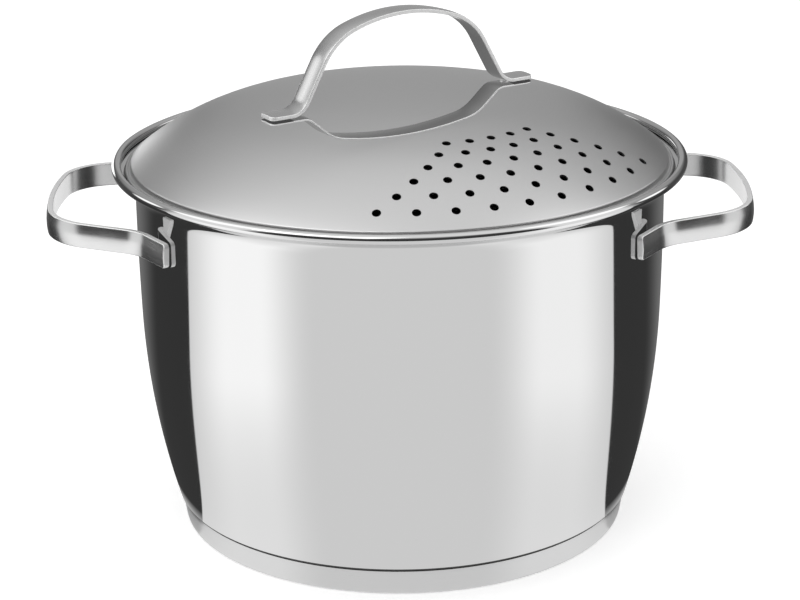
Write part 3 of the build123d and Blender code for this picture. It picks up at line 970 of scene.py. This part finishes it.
    @staticmethod
    def bent_span(first: tuple[float, float],
                  second: tuple[float, float]) -> tuple[float, float, float]:
        """Span of two round stretches that bend the same way, the first one level at its start.

        Args:
            first: radius and turn of the first stretch.
            second: radius and turn of the second one.

        Returns:
            How far the two lean in degrees, and their run and fall in millimetres.
        """
        lean = first[1] + second[1]
        run = first[0] * sine(first[1]) + second[0] * (sine(lean) - sine(first[1]))
        fall = first[0] * (1 - cosine(first[1])) + second[0] * (cosine(first[1]) - cosine(lean))
        return lean, run, fall

    def arch_moves(self) -> tuple[tuple[float, float], ...]:
        """Stretches of half the arch.

        Returns:
            The moves from its crown to the tip of its tab.
        """
        lean, run, fall = self.bent_span(self.arch_crown, self.arch_corner)
        drop = self.arch_rise - fall
        setback = self.arch_neck_radius * tangent(lean / 2)
        return (self.arch_crown, self.arch_corner, (drop / sine(lean) - setback, 0),
                (self.arch_neck_radius, -lean),
                (self.tip_reach - run - drop / tangent(lean) - setback, 0))

    def dip_height(self) -> float:
        """Height of the lower strap's outer face over the middle of the handle."""
        fall = self.crown_radius - math.sqrt(self.crown_radius ** 2 - self.handle_offset ** 2)
        return self.top_height - fall + self.dip_rise

    def dip_moves(self) -> tuple[tuple[float, float], ...]:
        """Stretches of half the lower strap.

        Returns:
            The moves from its middle on the dome to the tip of its tab.
        """
        lean, run, rise = self.bent_span(self.dip_floor, self.dip_corner)
        tab = self.top_height + self.tab_rise - self.strap_thickness - self.tab_gap
        climb = tab - self.dip_height() - rise
        setback = self.dip_neck_radius * tangent(lean / 2)
        return ((self.dip_floor[0], -self.dip_floor[1]), (self.dip_corner[0], -self.dip_corner[1]),
                (climb / sine(lean) - setback, 0), (self.dip_neck_radius, lean),
                (self.tip_reach - run - climb / tangent(lean) - setback, 0))

    def build_handle(self) -> None:
        """Build the arch and the strap that carries it, and dress their weld spots."""
        tab_length = self.arch_moves()[-1][0]
        # The arch's inner side, which looks down at the lid, takes painted shade.
        arch = BentStrap(self.arch_moves(), self.strap_width, self.strap_thickness,
                         self.strap_camber, self.strap_edge_radius, self.tip_radius, tab_length,
                         inner_finish=SHADED_STRAP_STEEL)
        top = self.handle_place(self.top_height + self.tab_rise + self.arch_rise)
        piece = arch.build("lid_arch_strap", "lid", top, False)
        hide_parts("lid_handle_grip")
        # The lower strap is painted darker all over as shade under the arch.
        dip = BentStrap(self.dip_moves(), self.strap_width, self.dip_sheet, self.strap_camber,
                        self.strap_edge_radius, self.tip_radius, tab_length, False,
                        SHADED_STRAP_STEEL, SHADED_STRAP_STEEL)
        dome = (Vector((0, 0, self.crown_centre)), self.crown_radius)
        bottom = self.handle_place(self.dip_height())
        piece = dip.build("lid_bracket_strap", "lid", bottom, False, dome)
        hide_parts("lid_handle_bracket")
        dress_node("lid_handle_weld_spots", BRACKET_STEEL.build())

    def build(self) -> None:
        """Build every piece of the lid."""
        self.build_dome()
        self.build_handle()


def emission_card(name: str, bm: bmesh.types.BMesh,
                  pot_turn: float) -> tuple[bpy.types.NodeTree, bpy.types.Node]:
    """Set up a reflector card that shows only in polished metal.

    Args:
        name: name of the card.
        bm: its mesh in millimetres, freed here.
        pot_turn: degrees by which the pot is turned to the camera, which the card follows.

    Returns:
        The card's node tree and its glow node, whose strength is the grey that it shows.
    """
    card = object_from(bm, name)
    card.rotation_euler.z = math.radians(-pot_turn)
    material = bpy.data.materials.new(name)
    material.use_nodes = True
    tree = material.node_tree
    tree.nodes.remove(tree.nodes["Principled BSDF"])
    glow = add_node(tree, "ShaderNodeEmission", None, {"Color": (1, 1, 1, 1)})
    tree.links.new(glow.outputs[0], tree.nodes["Material Output"].inputs["Surface"])
    card.data.materials.append(material)
    for flag in ("visible_camera", "visible_diffuse", "visible_shadow", "visible_transmission",
                 "visible_volume_scatter"):
        setattr(card, flag, False)
    return tree, glow


@dataclass
class ReflectionRoom:
    """What the polished steel sees: a lit table, dark behind the pot, and a soft-lit room.

    Tones are grey levels of the lit surfaces, where 1 is paper white. On the table they follow the
    sine of the direction from a fan centre in front of the pot's axis, -1 in front and 1 behind,
    or distances in metres. In the room they follow the parts of the direction in which it is seen
    from eye_height over the floor. far_panel_tone is a panel low behind the pot's left, which the
    left edge of the lid shows.
    """

    pot_turn: float
    table_inner: float = 104.5
    table_outer: float = 850.0
    room_radius: float = 3500.0
    table_lift: float = 0.1
    room_lift: float = 0.05
    ring_steps: int = 96
    fan_centre: float = 54.0
    table_tone: float = 0.87
    right_share: float = 0.8
    right_band: tuple[float, float] = (-0.05, 0.05)
    pool_tone: float = 0.48
    pool_rise: tuple[float, float] = (-0.82, -0.48)
    pool_fall: tuple[float, float] = (0.24, -0.24)
    pool_reach: tuple[float, float] = (0.10, 0.32)
    near_share: float = 0.40
    dark_edge: tuple[float, float] = (0.145, 0.155)
    dark_tone: float = 0.045
    rim_tone: float = 0.17
    rim_band: tuple[float, float] = (0.55, 0.86)
    white_band: tuple[float, float] = (0.90, 0.97)
    foot_share: float = 0.6
    foot_band: tuple[float, float] = (0.110, 0.118)
    eye_height: float = 170.0
    back_tone: float = 0.42
    corner_tone: float = 0.08
    corner_band: tuple[float, float] = (0.12, 0.34)
    low_band: tuple[float, float] = (0.15, 0.50)
    side_tone: float = 1.0
    side_band: tuple[float, float] = (0.24, 0.04)
    front_tone: float = 0.05
    front_band: tuple[float, float] = (-0.45, -0.62)
    ceiling_tone: float = 0.95
    ceiling_band: tuple[float, float] = (0.45, 1.0)
    side_box_tone: float = 1.5
    far_panel_tone: float = 2.0
    box_softness: float = 7.0
    dome_fineness: int = 5

    def build_table(self) -> None:
        """Lay the lit table: brighter at both sides, dark from a fan-shaped edge backwards."""
        ring = [Vector((radius, self.table_lift))
                for radius in (self.table_inner, self.table_outer)]
        tree, glow = emission_card("lit_table", spun_section(ring, self.ring_steps), self.pot_turn)
        place = add_node(tree, "ShaderNodeTexCoord").outputs["Object"]
        apart = add_node(tree, "ShaderNodeSeparateXYZ", inputs={0: place})
        side = add_node(tree, "ShaderNodeMath", {"operation": "ABSOLUTE"}, {0: apart.outputs["X"]})
        depth = add_node(tree, "ShaderNodeMath", {"operation": "ADD"},
                         {0: apart.outputs["Y"], 1: self.fan_centre * MM})
        fan = add_node(tree, "ShaderNodeCombineXYZ",
                       inputs={0: side.outputs[0], 1: depth.outputs[0]}).outputs[0]
        aim = add_node(tree, "ShaderNodeVectorMath", {"operation": "NORMALIZE"}, {0: fan})
        turn = add_node(tree, "ShaderNodeSeparateXYZ", inputs={0: aim.outputs[0]}).outputs["Y"]
        away, radius = (add_node(tree, "ShaderNodeVectorMath", {"operation": "LENGTH"},
                                 {0: line}).outputs["Value"] for line in (fan, place))
        ramps = []
        for value, ends, tones, kind in (
                (turn, self.pool_rise, (0.0, self.pool_tone), "SMOOTHSTEP"),
                (turn, self.pool_fall, (0.0, 1.0), "SMOOTHSTEP"),
                (away, self.pool_reach, (self.near_share, 1.0), "SMOOTHSTEP"),
                (apart.outputs["X"], self.right_band, (1.0, self.right_share), "SMOOTHSTEP"),
                (turn, self.rim_band, (self.dark_tone, self.rim_tone), "SMOOTHSTEP"),
                (turn, self.white_band, (0.0, self.table_tone), "SMOOTHSTEP"),
                (turn, self.dark_edge, (0.0, 1.0), "LINEAR"),
                (radius, self.foot_band, (self.table_tone * self.foot_share, 0.0), "LINEAR")):
            ramps.append(add_node(tree, "ShaderNodeMapRange", {"interpolation_type": kind},
                                  {"Value": value, "From Min": ends[0], "From Max": ends[1],
                                   "To Min": tones[0], "To Max": tones[1]}).outputs["Result"])
        rise, fall, reach, one_side, rim, white, edge, at_foot = ramps
        bright = rise
        for operation, other in (("MULTIPLY", fall), ("MULTIPLY", reach), ("MULTIPLY", one_side),
                                 ("ADD", self.table_tone)):
            bright = add_node(tree, "ShaderNodeMath", {"operation": operation},
                              {0: bright, 1: other}).outputs[0]
        dark = add_node(tree, "ShaderNodeMath", {"operation": "ADD"}, {0: rim, 1: white})
        tone = add_node(tree, "ShaderNodeMix", {"data_type": "FLOAT"},
                        {0: edge, 2: bright, 3: dark.outputs[0]})
        total = add_node(tree, "ShaderNodeMath", {"operation": "MAXIMUM"},
                         {0: tone.outputs[0], 1: at_foot})
        tree.links.new(total.outputs[0], glow.inputs["Strength"])

    def build_room(self) -> None:
        """Raise the room: grey behind the pot, dim far corners, bright beside and above it."""
        ring = [Vector((radius, self.room_lift))
                for radius in (self.table_outer, self.room_radius)]
        bm = spun_section(ring, self.ring_steps)
        bmesh.ops.create_icosphere(bm, subdivisions=self.dome_fineness,
                                   radius=self.room_radius)
        bmesh.ops.bisect_plane(bm, geom=[*bm.verts, *bm.edges, *bm.faces], dist=MERGE_DISTANCE,
                               plane_co=(0, 0, 0), plane_no=(0, 0, -1), clear_outer=True)
        tree, glow = emission_card("studio_room", bm, self.pot_turn)
        place = add_node(tree, "ShaderNodeTexCoord").outputs["Object"]
        seen = add_node(tree, "ShaderNodeVectorMath", {"operation": "SUBTRACT"},
                        {0: place, 1: (0, 0, self.eye_height * MM)})
        aim = add_node(tree, "ShaderNodeVectorMath", {"operation": "NORMALIZE"},
                       {0: seen.outputs[0]}).outputs[0]
        across, depth, height = add_node(tree, "ShaderNodeSeparateXYZ", inputs={0: aim}).outputs
        side = add_node(tree, "ShaderNodeMath", {"operation": "ABSOLUTE"}, {0: across}).outputs[0]
        ramps = []
        for value, ends, tones in (
                (side, self.corner_band, (0.0, self.back_tone - self.corner_tone)),
                (height, self.low_band, (1.0, 0.0)),
                (depth, self.side_band, (0.0, 1.0)),
                (depth, self.front_band, (0.0, 1.0)),
                (height, self.ceiling_band, (0.0, 1.0))):
            ramps.append(add_node(tree, "ShaderNodeMapRange", {"interpolation_type": "SMOOTHSTEP"},
                                  {"Value": value, "From Min": ends[0], "From Max": ends[1],
                                   "To Min": tones[0], "To Max": tones[1]}).outputs["Result"])
        sideways, low, beside, in_front, overhead = ramps
        dimming = add_node(tree, "ShaderNodeMath", {"operation": "MULTIPLY"}, {0: sideways, 1: low})
        total = add_node(tree, "ShaderNodeMath", {"operation": "SUBTRACT"},
                         {0: self.back_tone, 1: dimming.outputs[0]}).outputs[0]
        for share, tone in ((beside, self.side_tone), (in_front, self.front_tone),
                            (overhead, self.ceiling_tone)):
            total = add_node(tree, "ShaderNodeMix", {"data_type": "FLOAT"},
                             {0: share, 2: total, 3: tone}).outputs[0]
        for direction, spread, tone in (((-0.72, -0.02, 0.66), 24, self.side_box_tone),
                                        ((0.72, -0.02, 0.66), 24, self.side_box_tone),
                                        ((-0.88, 0.42, 0.26), 13, self.side_box_tone),
                                        ((0.88, 0.42, 0.26), 13, self.side_box_tone),
                                        ((-0.42, 0.90, -0.02), 12, self.far_panel_tone)):
            facing = add_node(tree, "ShaderNodeVectorMath", {"operation": "DOT_PRODUCT"},
                              {0: aim, 1: Vector(direction).normalized()}).outputs["Value"]
            box = add_node(tree, "ShaderNodeMapRange", {"interpolation_type": "SMOOTHSTEP"},
                           {"Value": facing, "From Min": cosine(spread),
                            "From Max": cosine(spread - self.box_softness),
                            "To Min": 0.0, "To Max": tone}).outputs["Result"]
            total = add_node(tree, "ShaderNodeMath", {"operation": "MAXIMUM"},
                             {0: total, 1: box}).outputs[0]
        tree.links.new(total, glow.inputs["Strength"])

    def build(self) -> None:
        """Build the table and the room."""
        self.build_table()
        self.build_room()


def seen_rays(tree: bpy.types.NodeTree) -> bpy.types.NodeSocket:
    """Tell the rays that show a surface, also in steel or through glass, from those it lights.

    Args:
        tree: node tree of the surface.

    Returns:
        The socket that is 1 for the rays that show it and 0 for the others.
    """
    path = add_node(tree, "ShaderNodeLightPath")
    total = path.outputs["Is Camera Ray"]
    for ray in ("Is Glossy Ray", "Is Transmission Ray"):
        total = add_node(tree, "ShaderNodeMath", {"operation": "ADD", "use_clamp": True},
                         {0: total, 1: path.outputs[ray]}).outputs[0]
    return total


@dataclass
class Studio:
    """White studio round the pot: floor, sky, softbox and the camera.

    The lamp's place, target and size and view_depth are in metres, other lengths in millimetres.
    """

    floor_size: float = 6000.0
    camera_distance: float = 1070.2
    camera_elevation: float = 19.107
    camera_roll: float = 0.693
    pot_turn: float = 0.95
    lens: float = 103.0
    sensor: float = 36.0
    view_depth: float = 50.0
    target: tuple[float, float, float] = (-0.53, 0.0, 100.9)
    sky_light: float = 0.85
    floor_lift: float = 0.35
    floor_gap: float = 0.2
    floor_steps: int = 96
    floor_roughness: float = 0.9
    paper_tones: tuple[str, str] = ("#F8F8F8", "#FCFCFC")
    fibres_per_metre: float = 900.0
    lamp_power: float = 3.2
    lamp_size: tuple[float, float] = (1.1, 0.8)
    lamp_place: tuple[float, float, float] = (-0.55, -0.7, 1.25)
    lamp_target: tuple[float, float, float] = (0.0, 0.0, 0.15)

    def build_sky(self) -> None:
        """White surroundings for the camera and for reflections, a little dimmer as light."""
        world = bpy.data.worlds.new("white_studio")
        bpy.context.scene.world = world
        world.use_nodes = True
        tree = world.node_tree
        background = tree.nodes["Background"]
        background.inputs["Color"].default_value = (1, 1, 1, 1)
        strength = add_node(tree, "ShaderNodeMapRange", None,
                            {"Value": seen_rays(tree), "To Min": self.sky_light, "To Max": 1.0})
        tree.links.new(strength.outputs["Result"], background.inputs["Strength"])

    def build_floor(self) -> None:
        """Wide matt white floor that keeps the pot's soft shadow and shows white in the open."""
        bm = bmesh.new()
        bmesh.ops.create_circle(bm, cap_ends=True, segments=self.floor_steps,
                                radius=self.floor_size)
        floor = object_from(bm, "studio_floor")
        floor.location.z = -self.floor_gap * MM
        material = bpy.data.materials.new("matt_white_paper")
        material.use_nodes = True
        tree = material.node_tree
        shader = tree.nodes["Principled BSDF"]
        shader.inputs["Roughness"].default_value = self.floor_roughness
        shader.inputs["Specular IOR Level"].default_value = 0.0
        place = add_node(tree, "ShaderNodeTexCoord").outputs["Object"]
        fibre = add_node(tree, "ShaderNodeTexNoise", None,
                         {"Vector": place, "Scale": self.fibres_per_metre})
        tone = add_node(tree, "ShaderNodeMix", {"data_type": "RGBA"},
                        {"Factor": fibre.outputs["Fac"], 6: linear_from_hex(self.paper_tones[0]),
                         7: linear_from_hex(self.paper_tones[1])})
        tree.links.new(tone.outputs[2], shader.inputs["Base Color"])
        lift = add_node(tree, "ShaderNodeMath", {"operation": "MULTIPLY"},
                        {0: seen_rays(tree), 1: self.floor_lift})
        glow = add_node(tree, "ShaderNodeEmission", None,
                        {"Color": (1, 1, 1, 1), "Strength": lift.outputs[0]})
        both = add_node(tree, "ShaderNodeAddShader", None,
                        {0: shader.outputs[0], 1: glow.outputs[0]})
        tree.links.new(both.outputs[0], tree.nodes["Material Output"].inputs["Surface"])
        floor.data.materials.append(material)

    def build_lamps(self) -> None:
        """Hang one wide softbox over the pot's front left."""
        light = bpy.data.lights.new("softbox", "AREA")
        light.shape = "RECTANGLE"
        light.size, light.size_y = self.lamp_size
        light.energy = self.lamp_power
        lamp = bpy.data.objects.new("softbox", light)
        lamp.location = self.lamp_place
        aim = Vector(self.lamp_target) - lamp.location
        lamp.rotation_euler = aim.to_track_quat("-Z", "Y").to_euler()
        bpy.context.scene.collection.objects.link(lamp)

    def build_camera(self) -> None:
        """Place the camera at the photographed angle."""
        camera = bpy.data.objects.new("camera", bpy.data.cameras.new("camera"))
        camera.data.lens = self.lens
        camera.data.sensor_width = self.sensor
        camera.data.clip_end = self.view_depth
        turn_back = Matrix.Rotation(math.radians(-self.pot_turn), 4, "Z")
        target = turn_back @ Vector(self.target)
        back = turn_back @ Vector((0, -cosine(self.camera_elevation), sine(self.camera_elevation)))
        right = turn_back @ Vector((1, 0, 0))
        up = back.cross(right)
        looking = Matrix((right, up, back)).transposed().to_4x4()
        roll = Matrix.Rotation(math.radians(-self.camera_roll), 4, "Z")
        place = Matrix.Translation((target + back * self.camera_distance) * MM)
        camera.matrix_world = place @ looking @ roll
        bpy.context.scene.collection.objects.link(camera)
        bpy.context.scene.camera = camera

    def build(self) -> None:
        """Build the whole studio."""
        bpy.context.scene.view_settings.view_transform = "Standard"
        self.build_sky()
        self.build_floor()
        ReflectionRoom(self.pot_turn).build()
        self.build_lamps()
        self.build_camera()


def main() -> None:
    """Build the pot, its handles, its lid and the studio in order."""
    logging.basicConfig(level=logging.INFO, format="%(name)s: %(message)s")
    sizes = PotSizes()
    PotVessel(sizes).build()
    SideHandles(sizes).build()
    StrainerLid(sizes).build()
    Studio().build()


if __name__ == "__main__":
    main()
